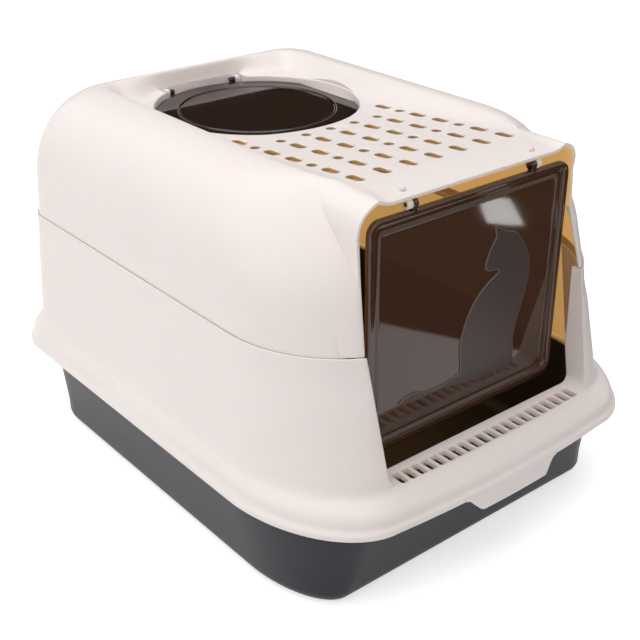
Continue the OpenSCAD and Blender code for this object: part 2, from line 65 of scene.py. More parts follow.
print("CAD nodes:", ", ".join(sorted(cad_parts)))

# %% [markdown]
# ## Walls from stacked outlines
# Every big moulding is a wall that follows one plan outline, which changes a little with height.
# A modeller could push faces about or loft curves. Here each outline is a list of points from a
# formula, and neighbouring outlines are bridged with quads. All outlines have the same number of
# points, so the bridge never twists, and one number sets how fine the surface is.

# %% Points into a mesh
def blank(name, points, faces):
    mesh = bpy.data.meshes.new(name)
    mesh.from_pydata([(x * MM, y * MM, z * MM) for x, y, z in points], [], faces)
    mesh.update()
    piece = bpy.data.objects.new(name, mesh)
    bpy.context.collection.objects.link(piece)
    return piece


def bridge(name, rings, loop=False):
    # Quads between neighbouring rings; both ends get a face, or a loop ties the last to the first
    n, k = len(rings[0]), len(rings)
    faces = []
    for j in range(k if loop else k - 1):
        for i in range(n):
            a, b = j * n + i, j * n + (i + 1) % n
            c, d = (j + 1) % k * n + (i + 1) % n, (j + 1) % k * n + i
            faces.append((a, b, c, d))
    if not loop:
        faces.append(tuple(reversed(range(n))))
        faces.append(tuple(range((k - 1) * n, k * n)))
    return blank(name, [p for ring in rings for p in ring], faces)


# %% One plan outline
# An outline is eight numbers: half width, front, back, front corner along x and along y, the power
# of that corner, back radius, and how far the front edge bows back towards its ends
CORNER_STEPS, FRONT_STEPS = 26, 20


def mix(a, b, t):
    return a + (b - a) * t


def ease(t):
    c = min(1, max(0, t))
    return c * c * (3 - 2 * c)


def mixed(a, b, t):
    return [mix(p, q, t) for p, q in zip(a, b)]


def grown(o, d):
    # The same outline, d further out all round
    return [o[0] + d, o[1] - d, o[2] + d, o[3] + d, o[4] + d, o[5], o[6] + d, o[7]]


def outline(o):
    half, front, back, cx, cy, power, r, bow = o
    flat, p = half - cx, 2 / power
    turn = [math.pi / 2 * i / CORNER_STEPS for i in range(CORNER_STEPS + 1)]
    nose = [(flat * i / FRONT_STEPS, front + bow * (i / FRONT_STEPS) ** 2)
            for i in range(-FRONT_STEPS, FRONT_STEPS + 1)]
    corner = [(flat + cx * math.sin(a) ** p, front + bow + cy - cy * max(0, math.cos(a)) ** p)
              for a in turn[1:]]
    right = [(half - r + r * math.cos(a), back - r + r * math.sin(a)) for a in turn]
    left = [(r - half - r * math.sin(a), back - r + r * math.cos(a)) for a in turn]
    return nose + corner + right + left + [(-x, y) for x, y in reversed(corner)]


def ring(z, o):
    return [(x, y, z) for x, y in outline(o)]


print("points on an outline:", 2 * FRONT_STEPS + 1 + 2 * (2 * CORNER_STEPS + 1))

# %% [markdown]
# ## Cutting
# The door opening, the slots and the round well are openings in those walls. A boolean with the
# manifold solver keeps the result watertight, so it is used for all of them. Each cutting tool flares
# a little where it leaves the surface: a moulded edge is never sharp, and that small flare is what
# catches the light.

# %% Boolean steps and smooth shading
WELD = 0.00001
ON_SURFACE, SAME_WAY, LOOKS_UP = 0.0001, 0.9, 0.4


def combine(piece, *steps):
    for operation, tool in steps:
        step = piece.modifiers.new(operation, "BOOLEAN")
        step.operation, step.solver, step.object = operation, "MANIFOLD", tool
    graph = bpy.context.evaluated_depsgraph_get()
    mesh = bpy.data.meshes.new_from_object(piece.evaluated_get(graph))
    piece.modifiers.clear()
    piece.data = mesh
    mesh.materials.clear()
    for _, tool in steps:
        bpy.data.objects.remove(tool)
    return piece


def soften(piece, degrees=40):
    work = bmesh.new()
    work.from_mesh(piece.data)
    bmesh.ops.remove_doubles(work, verts=work.verts, dist=WELD)
    bmesh.ops.dissolve_degenerate(work, edges=work.edges, dist=WELD)
    work.to_mesh(piece.data)
    work.free()
    piece.data.shade_smooth()
    piece.data.set_sharp_from_angle(angle=math.radians(degrees))
    return piece


def joined(name, parts):
    points, faces = [], []
    for part in parts:
        start = len(points)
        points += [tuple(v.co / MM) for v in part.data.vertices]
        faces += [tuple(start + i for i in f.vertices) for f in part.data.polygons]
        bpy.data.objects.remove(part)
    return blank(name, points, faces)


def surface_of(piece):
    # Search tree over a piece, taken before a boolean uses the piece up
    return BVHTree.FromPolygons([v.co.copy() for v in piece.data.vertices],
                                [tuple(p.vertices) for p in piece.data.polygons])


def paint_glow_and_shade(piece, *surfaces):
    # Painted glow and painted shade: the faces that lie on the first and later surfaces get the second
    # and later finishes
    for face in piece.data.polygons:
        for index, surface in enumerate(surfaces, 1):
            _, normal, _, away = surface.find_nearest(face.center)
            flush = away < ON_SURFACE and abs(normal.dot(face.normal)) > SAME_WAY
            if flush and face.normal.z < LOOKS_UP:
                face.material_index = index


def box(x0, x1, y0, y1, z0, z1):
    return bridge("box", [[(x0, y0, z), (x1, y0, z), (x1, y1, z), (x0, y1, z)] for z in (z0, z1)])


def across(half, profile):
    # A profile of (y, z) drawn from side to side
    return bridge("across", [[(x, y, z) for y, z in profile] for x in (-half, half)])


def along(y0, y1, profile):
    # A profile of (x, z) drawn from front to back
    return bridge("along", [[(x, y, z) for x, z in profile] for y in (y1, y0)])


# %% [markdown]
# ## Sizes of the mouldings
# These are the heights and plan outlines that the CAD model uses. They come first because the skirt,
# the wall, the lip at the seam and the hood all have to lie on each other.

# %% Heights and outlines
sill_z, rim_z, seam_z, crest_z = 121.0, 90.0, 233.5, 357.0
ledge_z, hood_foot, knee_z = 106.12, 226.0, 270.0
skirt_h, shell_h, shoulder_h = sill_z - rim_z, seam_z - sill_z, crest_z - knee_z
wall, edge_t = 3.0, 2.5
half_w, rim_y, back_y = 211.6, -265.0, 268.5
far_front, far_up = -400.0, 40.0

rim_o = [half_w, rim_y, back_y, 80, 122, 1.9, 56, 6.5]
sill_o = [half_w - 12.6, rim_y + 19.8, back_y - 12.6, 80, 112, 1.9, 51, 6]
seam_o = [half_w - 21.4, rim_y + 34.3, back_y - 20.08, 118, 118, 2, 38, 0]


def skirt_o(side, front):
    # Between rim and sill, with one share for the sides and the back and one for the front
    a, b = mixed(rim_o, sill_o, side), mixed(rim_o, sill_o, front)
    return [a[0], b[1], a[2], a[3], b[4], a[5], a[6], b[7]]


def wall_o(z):
    return mixed(sill_o, seam_o, (z - sill_z) / shell_h)


def flowing(keys, steps):
    # Runs a smooth curve through rows of numbers
    rows = [keys[0]] + keys + [keys[-1]]
    out = []
    for p, q, r, s in zip(rows, rows[1:], rows[2:], rows[3:]):
        for i in range(steps):
            t = i / steps
            out.append([0.5 * (2 * b + (c - a) * t + (2 * a - 5 * b + 4 * c - d) * t * t
                               + (3 * b - a - 3 * c + d) * t ** 3)
                        for a, b, c, d in zip(p, q, r, s)])
    return out + [list(keys[-1])]


print("seam outline:", [round(v, 1) for v in seam_o])

# %% [markdown]
# ## Finishes from plain arithmetic
# A surface pattern is a sum of small effects: a broad unevenness, a fine grain, a rim that is a
# little rougher. Wiring each sum by hand takes many nodes and hides the thought, so a small class
# wraps a socket and lets the usual operators build the Math nodes. Any other node comes from one
# method that takes its type, its settings and what goes into its sockets.

# %% Sockets that can be added and multiplied
class Wire:
    def __init__(self, finish, socket):
        self.finish, self.socket = finish, socket

    def math(self, operation, first, second):
        return self.finish.node("ShaderNodeMath", {"operation": operation}, {0: first, 1: second})

    def __add__(self, other):
        return self.math("ADD", self, other)

    def __radd__(self, other):
        return self.math("ADD", other, self)

    def __sub__(self, other):
        return self.math("SUBTRACT", self, other)

    def __rsub__(self, other):
        return self.math("SUBTRACT", other, self)

    def __mul__(self, other):
        return self.math("MULTIPLY", self, other)

    def __rmul__(self, other):
        return self.math("MULTIPLY", other, self)


class Nodes:
    def __init__(self, tree):
        self.tree = tree

    def put(self, socket, value):
        if isinstance(value, Wire):
            self.tree.links.new(value.socket, socket)
        else:
            socket.default_value = value

    def node(self, kind, settings=None, inputs=None, output=0):
        node = self.tree.nodes.new(kind)
        for key, value in (settings or {}).items():
            setattr(node, key, value)
        for key, value in (inputs or {}).items():
            self.put(node.inputs[key], value)
        return Wire(self, node.outputs[output])

    def seen(self):
        # 1 for rays from the camera, in a reflection or through a clear part, 0 for light itself
        rays = [self.node("ShaderNodeLightPath", output=kind)
                for kind in ("Is Camera Ray", "Is Glossy Ray", "Is Transmission Ray")]
        return rays[0] + rays[1] + rays[2]


class Finish(Nodes):
    def __init__(self, name):
        self.material = bpy.data.materials.new(name)
        self.material.use_nodes = True
        super().__init__(self.material.node_tree)
        self.shader = self.tree.nodes["Principled BSDF"]
        self.place = self.node("ShaderNodeTexCoord", output="Object")

    def noise(self, per_metre, detail=2.0):
        return self.node("ShaderNodeTexNoise", None,
                         {"Vector": self.place, "Scale": per_metre, "Detail": detail})

    def blend(self, share, a, b):
        return self.node("ShaderNodeMix", {"data_type": "RGBA"}, {0: share, 6: a, 7: b}, output=2)

    def bump(self, height, depth_mm, strength, edge_mm=0.0):
        inputs = {"Height": height, "Distance": depth_mm * MM, "Strength": strength}
        if edge_mm:
            inputs["Normal"] = self.node("ShaderNodeBevel", {"samples": 4}, {"Radius": edge_mm * MM})
        return self.node("ShaderNodeBump", None, inputs)

    def set(self, **values):
        for key, value in values.items():
            self.put(self.shader.inputs[key.replace("_", " ")], value)


def colour(r, g, b):
    # A colour as it is read from a screen, 0 to 255, in the linear numbers that a shader wants
    return [((v / 255 + 0.055) / 1.055) ** 2.4 for v in (r, g, b)] + [1.0]


# %% [markdown]
# ## Cream plastic
# The shell and the hood are moulded from one warm off-white plastic with a satin face. Paint-like
# flat colour would look like paper. Real mouldings drift a little in tone where the melt flowed,
# are slightly rougher in places, and carry a fine spark-eroded grain from the mould, so the finish
# has those three and nothing that repeats.

# %% Cream finish
def cream_finish(name, base, shade, shine=(0, 0, 0, 1), strength=0.0):
    finish = Finish(name)
    drift = finish.noise(7, 3)
    grain = finish.noise(1400)
    finish.set(Base_Color=finish.blend(drift, base, shade),
               Roughness=0.34 + 0.1 * drift + 0.04 * grain,
               Normal=finish.bump(grain, 0.05, 0.18, 1.6))
    finish.set(IOR=1.48, Specular_IOR_Level=0.42)
    finish.set(Subsurface_Weight=0.4, Subsurface_Radius=(1.0, 0.6, 0.4), Subsurface_Scale=0.003)
    # An emission here is painted glow, the light that would come through the wall; none by default
    finish.set(Emission_Color=shine, Emission_Strength=strength)
    return finish.material


cream = cream_finish("cream_plastic", colour(242, 234, 231), colour(238, 229, 226))

# %% [markdown]
# ## Cream seen from inside
# Thin cream plastic lets daylight through, so the inside of the hood glows ochre although nothing
# there is painted on the real box. A true volume would do it and take minutes to render. The inner
# faces get a painted glow instead: a warmer base colour, which is the colour that light has after it
# went through the wall, and a faint emission of it. The walls of the vents lie in their own shade,
# so they get painted shade: a darker base that hardly shines.

# %% Painted glow and painted shade for the inner faces
ochre = colour(212, 171, 106)
# Painted glow: warmer base colour and ochre emission for the inner faces
cream_painted_glow = cream_finish("cream_plastic_painted_glow", colour(231, 206, 160), colour(225, 198, 150),
                            ochre, 0.48)
# Painted shade: a darker base with only a faint glow, for the walls of the vents and the seam
cream_painted_shade = cream_finish("cream_plastic_painted_shade", colour(186, 160, 116), colour(176, 150, 106),
                           ochre, 0.06)
print("inner glow:", [round(v, 2) for v in ochre[:3]])

# %% [markdown]
# ## Charcoal plastic
# The pan is dark grey polypropylene. It is coarser than the cream parts and shows soft broad
# reflections. A fine two-scale grain in the bump breaks those up, and the roughness wanders a little.

# %% Charcoal finish
charcoal = Finish("charcoal_plastic")
flow, tooth = charcoal.noise(9, 3), charcoal.noise(1100, 3)
charcoal.set(Base_Color=charcoal.blend(flow, colour(34, 33, 41), colour(38, 37, 45)),
             Roughness=0.38 + 0.1 * flow + 0.08 * tooth,
             Normal=charcoal.bump(tooth, 0.08, 0.25, 0.7))
charcoal.set(IOR=1.49, Specular_IOR_Level=0.32)

# %% [markdown]
# ## Smoked plastic
# Door and lid are clear plastic with a brown dye, polished in the mould. Glass with a coloured
# volume is the full answer, but a see-through sheet this dark can be a glossy brown skin that lets
# an eighth of the light pass. The face is not optically flat: a very broad, very shallow wave in the
# normal bends the reflections, as it does on any moulded window.

# %% Smoked finish, clear and frosted
def smoked_finish(name, base, shade, roughness, wave, clear):
    finish = Finish(name)
    swell, haze = finish.noise(9, 0), finish.noise(60, 3)
    finish.set(Base_Color=finish.blend(haze, base, shade),
               Roughness=roughness + 0.02 * haze,
               Normal=finish.bump(swell, wave, 1.0))
    finish.set(IOR=1.52, Alpha=clear)
    return finish.material


# One smoked plastic in two copies: the door's base is painted lighter for the less light that reaches its
# front, the lid's is kept darker for the more light that falls on it from above
smoked = smoked_finish("smoked_plastic", colour(78, 52, 39), colour(72, 47, 35), 0.04, 0.8, 0.88)
smoked_lid_painted_darker = smoked_finish("smoked_plastic_lid_painted_darker", colour(41, 28, 26), colour(38, 26, 24),
                           0.04, 0.5, 0.88)
frosted = smoked_finish("smoked_frosted", colour(70, 56, 53), colour(64, 51, 48), 0.42, 0.2, 0.95)
# Painted highlight: a lighter copy of the frosted finish for the thin edge round the cat
frosted_painted_highlight = smoked_finish("smoked_frosted_painted_highlight", colour(112, 94, 88), colour(104, 86, 80),
                             0.3, 0.2, 0.95)
print("finishes:", [m.name for m in bpy.data.materials])

# %% [markdown]
# ## The pan
# The pan is one deep drawn tub. It could be a box with its edges bevelled, but the wall is drafted,
# the corners are not round arcs and the foot has its own radius. Outlines stacked from the outside
# of the floor up over the rim and down to the inner floor give all of that in one closed skin.

# %% Pan outlines
pan_wall, pan_draft, pan_edge_r = 3.0, math.radians(10), 16.0
pan_foot_z = ledge_z - 20
# The pan's rolled rim as (depth below its top, growth of the outline)
rim = [(5, 0), (4.4, 0.05), (4, 0.3), (1.5, 0.3), (0.8, 0.15), (0.3, -0.25), (0, -0.9), (0, -2.1),
       (0.3, -2.7), (1, -3)]
pan_top = [half_w - 6.3 - wall + 1.1, rim_y + 33.7, back_y - 28.7, 75, 104, 2, 78, 0]
pan_low = grown(pan_top, -pan_foot_z * math.tan(pan_draft))
pan_low = pan_low[:3] + [40, 84, 1.9, 40, 0]


def foot(radius, shift):
    # Quarter round between the floor and the drafted wall, as rows of outline numbers
    back = radius * math.tan(math.pi / 4 - pan_draft / 2)
    for i in range(13):
        a = (math.pi / 2 - pan_draft) * i / 12
        yield radius * (1 - math.cos(a)) + shift, radius * math.sin(a) - back - shift


outside = [ring(z, grown(pan_low, d)) for z, d in foot(pan_edge_r, 0)]
outside += [ring(pan_foot_z * t, mixed(pan_low, pan_top, t)) for t in (0.3, 0.45, 0.6, 0.75, 0.9, 1)]
outside += [ring(ledge_z - z, grown(pan_top, d)) for z, d in rim]
inside = [ring(pan_foot_z * t, grown(mixed(pan_low, pan_top, t), -pan_wall))
          for t in (1, 0.8, 0.6, 0.4)]
inside += [ring(z, grown(pan_low, d)) for z, d in reversed(list(foot(pan_edge_r - pan_wall, pan_wall)))]

tray = soften(bridge("litter_tray_moulding", outside + inside))
tray.data.materials.append(charcoal.material)
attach(tray, "pan"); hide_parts("litter_tray")
print("pan faces:", len(tray.data.polygons))

# %% [markdown]
# ## The lower shell: wall and skirt
# The skirt is the most shaped part of the box: a round lip, a shallow groove over it, a full
# shoulder and a hollow that runs into the wall. It is drawn as a few key rows of numbers, and a
# smooth curve through them gives the rows in between. The wall goes on to the seam, turns over a
# thin lip and comes back down inside, over the two ledges that carry the hood and sit on the pan.

# %% Shell rings
seam_r, rim_r, shelf = 0.7, 1.5, 3.3
# Rows of (share of the skirt's height, way in at the sides, way in at the front), from rim to sill
skirt = [[0.05, 0, 0], [0.12, 0.0, 0.0], [0.18, 0.04, 0.03], [0.25, 0.15, 0.12], [0.31, 0.23, 0.16],
         [0.4, 0.27, 0.17], [0.52, 0.31, 0.22], [0.64, 0.39, 0.38], [0.76, 0.6, 0.62], [0.88, 0.84, 0.87],
         [1, 0.95, 1]]
keys = [[rim_z + s[0] * skirt_h] + skirt_o(s[1], s[2]) for s in skirt]
keys += [[z] + grown(wall_o(z), d) for z, d in ((126, -0.2), (132, -0.05), (150, 0), (172, 0), (194, 0))]
keys += [[z] + wall_o(mix(z, seam_z, t)) for z, t in ((213, 0.4), (seam_z - seam_r, 1))]
lip = [math.radians(a) for a in range(30, 180, 30)]
outer = [ring(row[0], row[1:]) for row in flowing(keys, 4)]
outer += [ring(seam_z - seam_r + seam_r * math.sin(a), grown(seam_o, -seam_r + seam_r * math.cos(a)))
          for a in lip]
thin = grown(seam_o, -2 * seam_r)
ledge_edge = [pan_top[0] - 3.4, pan_top[1] - 3, pan_top[2] - 5, 71, 100, 2, 60, 0]
inner = [ring(z, o) for z, o in (
    (seam_z - seam_r, thin), (hood_foot, thin), (hood_foot, grown(thin, -shelf)),
    (hood_foot - 3, grown(thin, -shelf)), (hood_foot - 7, grown(wall_o(hood_foot - 7), -wall)),
    (sill_z + 5, grown(wall_o(sill_z + 5), -wall)),
    *((rim_z + s[0] * skirt_h - 0.6, grown(skirt_o(s[1], s[2]), -wall)) for s in reversed(skirt[7:])),
    (ledge_z + wall, grown(skirt_o(0.45, 0.4), -wall)), (ledge_z + wall, ledge_edge),
    (ledge_z, ledge_edge), (ledge_z, grown(skirt_o(0.38, 0.27), -wall)),
    (rim_z + rim_r + 0.05, grown(rim_o, -wall)))]
inner += [ring(rim_z + rim_r - rim_r * math.sin(a), grown(rim_o, -rim_r - rim_r * math.cos(a)))
          for a in lip]
shell = bridge("lower_shell_moulding", outer + inner, loop=True)
print("shell rings:", len(outer), "outside,", len(inner), "inside")

# %% Surfaces that later steps need
# The seen inside as a closed block, and the outside a little smaller, which trims added blocks
hollow_rings = [row for row in inner if ledge_z + 2 < row[0][2] < hood_foot - 5]
shell_hollow = bridge("shell_hollow", list(reversed(hollow_rings)))
shell_inside = surface_of(shell_hollow)
bpy.data.objects.remove(shell_hollow)
body_outside = [ring(row[0], grown(row[1:], -0.4)) for row in flowing(keys, 4)]
body_outside.append(ring(seam_z, grown(seam_o, -0.8)))
print("shell inside from", round(hollow_rings[-1][0][2], 1), "to", hollow_rings[0][0][2], "mm")

# %% [markdown]
# ## The lower shell: front opening
# The opening is a tall U. Its edge is turned back into the box, so the two pillars and the sill have
# a second, inner face. That return is a block cut to the U from outside and inside. Building it from
# the same U as the cut keeps its thickness the same all the way round.

# %% Opening and its return
sill_front, sill_back = sill_o[1], sill_o[1] + 28
foot_y = sill_front + 6.7
shell_seam_y = foot_y + 24.2
opening_foot, opening_head, opening_r = 126.0, 132.3, 9.0


def opening(inset, top):
    # The U from its left foot round to the top; a smaller inset makes it wider
    w0, w1 = opening_foot - inset, opening_head - inset
    low, r = sill_z - (edge_t - inset), max(opening_r - inset + edge_t, 1)
    left = [(-w0 + r + r * math.cos(a), low + r + r * math.sin(a))
            for a in (math.pi * (1 + i / 16) for i in range(9))]
    return left + [(-x, z) for x, z in reversed(left)] + [
        (w1, seam_z), (w1, top), (-w1, top), (-w1, seam_z)]


returned = along(far_front, sill_back + 20, opening(0, seam_z + 1))
return_depth = [(far_front, sill_z - 20), (sill_back, sill_z - 20), (sill_back, sill_z),
                (sill_back + 8, sill_z + 33), (shell_seam_y + 11, seam_z - 1), (far_front, seam_z - 1)]
combine(returned, ("INTERSECT", across(half_w, return_depth)),
        ("INTERSECT", bridge("body", body_outside)))
print("opening at the sill:", 2 * (opening_foot - edge_t), "mm")

# %% [markdown]
# ## The lower shell: pull tab
# In the middle of the front the skirt runs on into a flat tab, the grip that lifts the shell off the
# pan. It could be a bevelled plate, but it has to leave the skirt without a step. So it is stacked from
# level rows: each has the tab's width at its height and the bow of the skirt's lip, and above the lip
# the rows sink into the skirt.

# %% Tab
tab_foot, tab_half, tab_r, tab_edge = rim_z - 13.6, 46, 9, 0.9
tab_t, tab_lean, tab_proud = 2.95, 3.4, 0.04
sink_from, sink_slope = 3.2, 0.7


def tab_width(z):
    # Half the tab's width: a round foot corner, a 45 degree side and a fillet into the skirt's lip
    part = tab_r * (1 - math.cos(math.radians(45)))
    if z < tab_foot + part:
        return tab_half - tab_r + math.sqrt(tab_r ** 2 - (tab_r - (z - tab_foot)) ** 2)
    root = tab_half - 2 * part + (rim_z - tab_foot) - part + tab_r - part
    if z < rim_z - part:
        return tab_half - 2 * part + (z - tab_foot)
    return root - math.sqrt(tab_r ** 2 - (min(z, rim_z) - (rim_z - tab_r)) ** 2)


def tab_row(z, pinch=0):
    # One level: the front from left to right, then the back; pinch rounds the foot's edge
    wide = tab_width(z) - tab_edge
    half = [(wide * i / 8, 0) for i in range(9)]
    half += [(wide + tab_edge * math.sin(a), tab_edge * (1 - math.cos(a)))
             for a in (math.radians(d) for d in (30, 60, 90))]
    whole = [(-x, t) for x, t in reversed(half[1:])] + half
    out = tab_proud + tab_lean * (max(0, rim_z - z) / (rim_z - tab_foot)) ** 1.3
    sink = sink_slope * max(0, z - rim_z - sink_from)
    level = [(x, t, rim_y - out + rim_o[7] * (x / (half_w - rim_o[3])) ** 2) for x, t in whole]
    return ([(x, y + sink + t + pinch, z) for x, t, y in level]
            + [(x, y + tab_t - t - pinch, z) for x, t, y in reversed(level)])


tab_rows = [tab_row(tab_foot + tab_edge * (1 - math.cos(a)), 0.999 * tab_edge * (1 - math.sin(a)))
            for a in (math.radians(d) for d in (0, 30, 60, 90))]
tab_rows += [tab_row(tab_foot + h)
             for h in (1.6, 2.7, 4, 6, 8, 9.5, 10.9, 12, 12.7, 13.2, 13.4, 13.55, 14.4, 15.6, 16.8, 17.8)]
tab = bridge("tab", tab_rows)
print("tab:", round(2 * tab_width(rim_z), 1), "wide at the lip,", round(rim_z - tab_foot, 1), "high")

# %% [markdown]
# ## The lower shell: slots in the sill
# Litter that a cat carries out falls back through a row of slots, with deep bars between them. An
# array modifier could repeat one slot, but the row follows the bow of the front edge, so each slot is
# placed by a short formula. One joined tool with all slots needs only one boolean.

# %% Slots and the finished shell
def pillow(x, y, width, length, r, levels):
    # Stacked rounded rectangles as (height, growth); a growing last level flares the edge
    rows = []
    for z, grow in levels:
        row = []
        for cx, cy, turn in ((1, -1, 270), (1, 1, 0), (-1, 1, 90), (-1, -1, 180)):
            for i in range(7):
                a = math.radians(turn + 15 * i)
                row.append((x + cx * (width / 2 - r) + (r + grow) * math.cos(a),
                            y + cy * (length / 2 - r) + (r + grow) * math.sin(a), z))
        rows.append(row)
    return bridge("pillow", rows)


slot_n, slot_pitch, slot_w, slot_l, sill_t, slot_bow = 21, 10.7, 7.2, 15.0, 5.0, 0.00018
flare = ((-sill_t - 4, 0), (-0.9, 0), (-0.5, 0.12), (-0.2, 0.36), (0, 0.75), (10, 1.6))
slots = []
for i in range(slot_n):
    x = (i - (slot_n - 1) / 2) * slot_pitch
    y = sill_front + 2.9 + slot_l / 2 + slot_bow * x * x
    slots.append(pillow(x, y, slot_w, slot_l, 2, [(sill_z + z, g) for z, g in flare]))

# The bars between the slots, a low wall that hangs behind them, and the slant of the pillars' front
bar_half = ((slot_n - 1) * slot_pitch + slot_w) / 2 + 3
bars = box(-bar_half, bar_half, sill_front + 1.9, sill_front + 21.9, sill_z - sill_t, sill_z - 1)
combine(bars, ("INTERSECT", bridge("body", body_outside)))
hanging = box(-opening_foot + 12, opening_foot - 12, sill_back - edge_t - 0.6, sill_back - 0.6,
              ledge_z + 1, sill_z - 1)
lean = across(opening_head + 12, [(far_front, sill_z), (foot_y, sill_z), (shell_seam_y, seam_z),
                                  (shell_seam_y, seam_z + 9), (far_front, seam_z + 9)])
combine(shell, ("UNION", returned), ("UNION", bars), ("UNION", hanging), ("UNION", tab),
        ("DIFFERENCE", along(far_front, -100, opening(edge_t, seam_z + 10))), ("DIFFERENCE", lean),
        ("DIFFERENCE", joined("slots", slots)))
soften(shell)
shell.data.materials.append(cream)
shell.data.materials.append(cream_painted_glow)
# The faces inside the shell get the painted glow
paint_glow_and_shade(shell, shell_inside)
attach(shell, "shell"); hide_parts("lower_shell")
print("shell faces:", len(shell.data.polygons))

# %% [markdown]
# ## The hood: walls and roof
# The hood's sides stand nearly straight and then roll over a large shoulder to the roof crest. Inside
# the crest the roof dips into a shallow dish, level round the lid and rising a little to the front.
# Sculpting that by eye would not match the lid, so the dish is one height formula. Everything over it
# is a solid that the boolean takes away, once for the outside and once, a wall lower, for the inside.

# %% Hood outlines and the height of the roof
front_slope, front_round, crest_w = 0.27, 20.5, 240.0
dish, dish_slope, roof_rise, ramp_y, rear_slope = 16.0, 26.0, 12.5, 12.0, 6.5
lip_drop, slope_growth = 4.0, 0.1
hollow_reach, hollow_from, hollow_run = 24.0, 45.0, 50.0
hood_seam_y = shell_seam_y + 2.2
kink_y, kink_z = hood_seam_y + 13.5, seam_z + 57
brow_y, brow_z = kink_y + 2.6, kink_z + 0.54 * (crest_z - kink_z)
lip_y, top_y = kink_y - 1.4, kink_y + 36
visor_half, visor_r = 126.0, 23.0
hood_o = grown(seam_o, -1.7)
knee_o = [hood_o[0] - 1.3, hood_o[1], hood_o[2] - 1.2, 116, 116, 2, 38, 0]
crest_o = [crest_w / 2, hood_o[1], knee_o[2] - 39.5, 100, 100, 2, 24, 0]


def floor_z(y):
    # Height of the dish's floor: level, then up a ramp, then down a little to the lip
    if y > ramp_y:
        return crest_z - dish
    if y > top_y:
        return crest_z - dish + roof_rise * (ramp_y - y) / (ramp_y - top_y)
    return crest_z - dish + roof_rise - lip_drop * ((top_y - y) / (top_y - lip_y)) ** 2


def slope_w(y):
    return dish_slope + slope_growth * max(0, min(ramp_y, ramp_y - y))


def roof_z(x, y):
    # Behind the lid the rear slope is steep, and towards the corners it opens into a wide hollow
    rear = rear_slope + hollow_reach * ease((abs(x) - hollow_from) / hollow_run)
    side = 1 - min(1, (crest_o[0] - abs(x)) / slope_w(y))
    back = 1 - min(1, (crest_o[2] - y) / rear)
    drop = ease(1 - math.hypot(side, back))
    return crest_z - (crest_z - floor_z(y)) * drop


def leaned(o, z):
    # The front face of the hood leans back as it rises and rolls over at the shoulder
    back = max(0, z - knee_z) / shoulder_h
    shift = front_slope * (z - seam_z) + front_round * math.sin(math.pi / 2 * min(1, back)) ** 2
    return [o[0], o[1] + shift] + list(o[2:])


def body_rings(t):
    rows = [ring(hood_foot - (1 if t else 0), grown(hood_o, -t)), ring(seam_z, grown(hood_o, -t))]
    for i in range(33):
        a = math.pi / 2 * i / 32
        u = 1 - math.cos(a)
        z = knee_z + (shoulder_h - t) * math.sin(a)
        o = leaned(mixed(knee_o, crest_o, u), z + t * math.sin(a))
        rows.append(ring(z, grown(o, -t * (1 - u))))
    return rows


def over_roof(t):
    # Everything over the dish, t lower for the inside
    ys = [crest_o[2] - rear_slope * i / 10 for i in range(11)]
    ys += [crest_o[2] - rear_slope - 2 * i for i in range(1, 14)]
    ys += [mix(crest_o[2] - rear_slope - 26, ramp_y, i / 8) for i in range(1, 9)]
    ys += [mix(ramp_y, top_y, i / 8) for i in range(1, 9)]
    ys += [mix(top_y, lip_y - 12, i / 16) for i in range(1, 17)] + [far_front]
    rows = []
    for y in ys:
        edge = [crest_o[0] - slope_w(y) * i / 20 for i in range(21)]
        edge += [mix(edge[-1], 20, i / 12) for i in range(1, 13)]
        rows.append([(-x, y) for x in edge] + [(x, y) for x in reversed(edge)])
    low = [[(x, y, roof_z(x, y) - t) for x, y in row] for row in rows]
    closed = [row + [(x, y, crest_z + far_up) for x, y, _ in reversed(row)] for row in low]
    return bridge("over_roof", closed)


print("roof over the door:", round(floor_z(lip_y), 1), "mm high")

# %% [markdown]
# ## The hood: visor, well and vents
# In front the hood grows a square visor round the door, with rounded upper corners. The roof has a
# round well for the lid and rows of vents. The tools for these follow the height of the roof, so
# their flared edges have the same width everywhere.

# %% Visor and well
def visor(t):
    r, w, top = visor_r - t, visor_half - t, crest_z - 3 - t
    turn = [math.radians(7.5 * i) for i in range(13)]
    head = [(w - r + r * math.cos(a), top - r + r * math.sin(a)) for a in turn]
    return along(lip_y - 60, top_y + 22, [(-w, seam_z + 2), (w, seam_z + 2)] + head
                 + [(-x, z) for x, z in reversed(head)])


well_r, well_d, well_ledge, lid_gap, lid_flat = 101.0, 11.0, 11.0, 1.4, 10.5
lid_y = crest_o[2] - rear_slope - well_r
roof_low = crest_z - dish
well_z, lid_top = roof_low - well_d, roof_low - 5
lid_r = well_r - lid_gap
lid_axis_y, lid_axis_z = lid_y + lid_r - 2.2, lid_top + 1.5
lid_hinge_x = 44.0


def circle(r, steps):
    # Points of a circle round the middle of the lid
    return [(r * math.cos(a), lid_y + r * math.sin(a))
            for a in (2 * math.pi * i / steps for i in range(steps))]


def disc(r, z0, z1):
    return bridge("disc", [[(x, y, z) for x, y in circle(r, 144)] for z in (z0, z1)])


def flared_well():
    # Its upper edge keeps to the height of the roof and flares open in small steps
    rows = [[(x, y, well_z) for x, y in circle(well_r, 144)]]
    for down, grow in ((1.2, 0), (0.7, 0.12), (0.3, 0.4), (0.08, 0.8), (0, 1.2)):
        rows.append([(x, y, floor_z(y) - down) for x, y in circle(well_r + grow, 144)])
    rows.append([(x, y, crest_z + far_up) for x, y, _ in rows[-1]])
    return bridge("well", rows)


def hinge_recess(t, z0):
    reach = lid_hinge_x + 6 + t
    return box(-reach, reach, lid_y, lid_axis_y + 4.5 + t, z0, z0 + 60)


print("well floor at", well_z, "mm, lid axis at", lid_axis_z, "mm")

